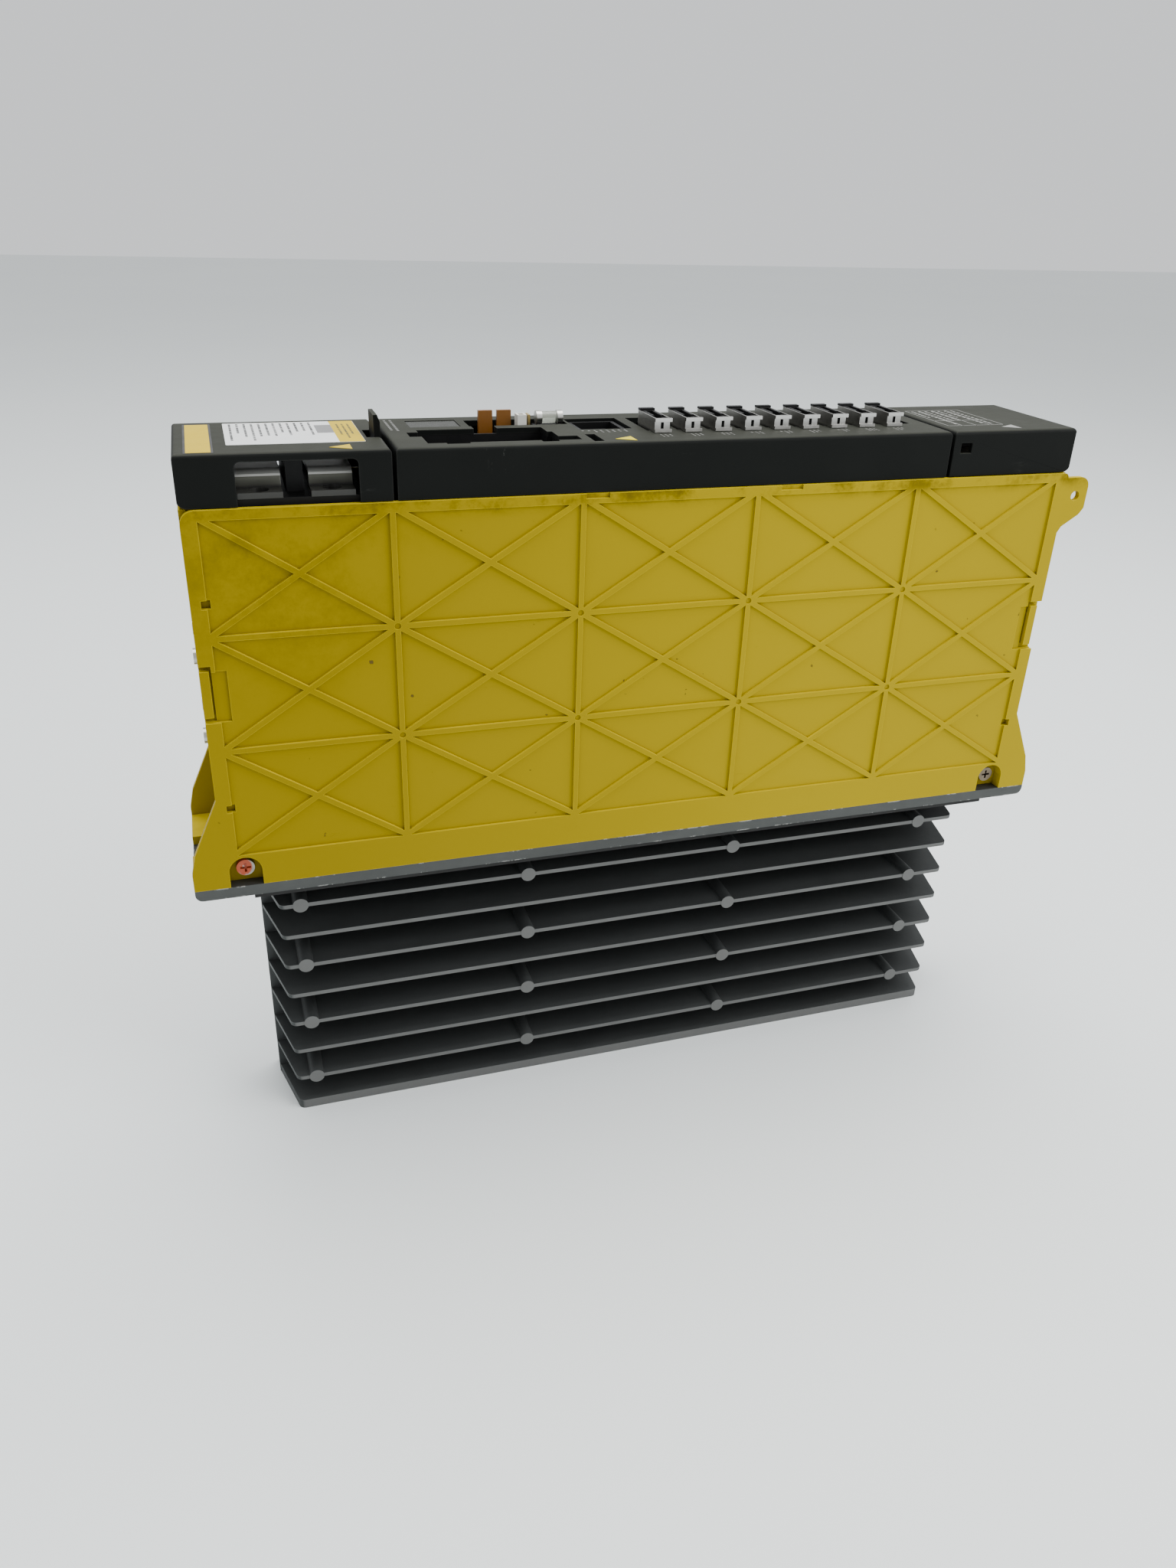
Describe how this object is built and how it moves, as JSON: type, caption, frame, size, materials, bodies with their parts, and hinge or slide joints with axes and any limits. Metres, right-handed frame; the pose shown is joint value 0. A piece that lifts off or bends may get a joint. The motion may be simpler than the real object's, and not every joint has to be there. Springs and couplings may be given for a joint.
{
  "type": "servo drive",
  "caption": "Slim yellow servo drive module with a finned heat sink, mounting flange, hinged terminal covers and a row of signal connectors.",
  "frame": {"origin": "centre of the footprint, at the underside of the heat sink on which the module stands", "axes": "+X along the flange towards the end with the hanging lug, +Y across the module, +Z from the heat sink to the front covers"},
  "size_m": [0.38, 0.06, 0.3035],
  "materials": {
    "cast_sink": "rough cast, grimy",
    "gasket_rubber": "matte",
    "flange_metal": "satin, scuffed",
    "yellow_plastic": "satin moulded",
    "cover_plastic": "fine textured",
    "black_plastic": "matte",
    "zinc_steel": "zinc plated",
    "bronze_steel": "yellow passivated, worn",
    "smoked_window": "glossy smoked",
    "amber_plastic": "translucent amber",
    "white_plastic": "satin",
    "gold_contact": "plated",
    "clear_plastic": "clear",
    "tinned_metal": "tinned",
    "connector_metal": "dull nickel",
    "board_green": "solder mask",
    "capacitor_sleeve": "sleeve",
    "copper": "bare"
  },
  "bodies": {
    "chassis": {"heat_sink": "cast_sink", "flange_gasket": "gasket_rubber", "mounting_flange": "flange_metal", "sink_screws": "zinc_steel", "near_side_shell": "yellow_plastic", "far_side_shell": "yellow_plastic", "fan_end_wall": "yellow_plastic", "vent_end_wall": "yellow_plastic", "shell_screws_left": "zinc_steel", "shell_screws_right": "bronze_steel", "fan_frame": "black_plastic", "fan_screws": "zinc_steel", "main_front_cover": "cover_plastic", "display_window": "smoked_window", "display_module": "black_plastic", "bay_tray": "black_plastic", "plug_socket": "black_plastic", "white_header": "white_plastic", "header_contact": "gold_contact", "fuse_holder": "black_plastic", "option_socket": "black_plastic", "control_board": "board_green", "board_screws": "zinc_steel", "interface_board": "board_green", "board_chips": "black_plastic", "power_board": "board_green", "board_standoffs": "zinc_steel", "power_module_left": "black_plastic", "power_module_right": "black_plastic", "module_screws": "zinc_steel", "link_capacitor_left": "capacitor_sleeve", "link_capacitor_right": "capacitor_sleeve", "current_sensors": "black_plastic", "brake_relay": "white_plastic", "link_bar_left": "tinned_metal", "link_bar_right": "tinned_metal", "link_leads": "copper", "terminal_base": "black_plastic", "motor_terminal_block": "black_plastic", "motor_terminal_tabs": "gold_contact", "motor_terminal_screws": "zinc_steel", "connector_shell_1": "connector_metal", "connector_shell_2": "connector_metal", "connector_shell_3": "connector_metal", "connector_shell_4": "connector_metal", "connector_shell_5": "connector_metal", "connector_shell_6": "connector_metal", "connector_shell_7": "connector_metal", "connector_shell_8": "connector_metal", "connector_shell_9": "connector_metal", "connector_cores": "black_plastic"},
    "left_cover": {"left_terminal_cover": "cover_plastic"},
    "left_latch": {"left_cover_latch": "cover_plastic"},
    "right_cover": {"right_terminal_cover": "cover_plastic"},
    "plug_left": {"amber_plug_left": "amber_plastic"},
    "plug_right": {"amber_plug_right": "amber_plastic"},
    "fuse": {"fuse_body": "clear_plastic", "fuse_caps": "tinned_metal"},
    "fan": {"fan_rotor": "black_plastic"}
  },
  "joints": [
    {"name": "left_cover_hinge", "type": "hinge", "parent": "chassis", "child": "left_cover", "pos_m": [-0.1749, 0, 0.2814], "axis": [0, -1, 0], "range_deg": [0, 95]},
    {"name": "left_latch_tip", "type": "hinge", "parent": "left_cover", "child": "left_latch", "pos_m": [-0.1072, 0, 0.282], "axis": [0, -1, 0], "range_deg": [0, 5], "stiffness_Nm_per_rad": 0.05},
    {"name": "right_cover_hinge", "type": "hinge", "parent": "chassis", "child": "right_cover", "pos_m": [0.1749, 0, 0.2814], "axis": [0, 1, 0], "range_deg": [0, 95]},
    {"name": "amber_plug_left_pull", "type": "slide", "parent": "chassis", "child": "plug_left", "axis": [0, 0, 1], "range_m": [0, 0.008]},
    {"name": "amber_plug_right_pull", "type": "slide", "parent": "chassis", "child": "plug_right", "axis": [0, 0, 1], "range_m": [0, 0.008]},
    {"name": "fuse_pull", "type": "slide", "parent": "chassis", "child": "fuse", "axis": [0, 0, 1], "range_m": [0, 0.008]},
    {"name": "fan_spin", "type": "hinge", "parent": "chassis", "child": "fan", "pos_m": [-0.1656, 0, 0.205], "axis": [1, 0, 0], "continuous": true}
  ]
}
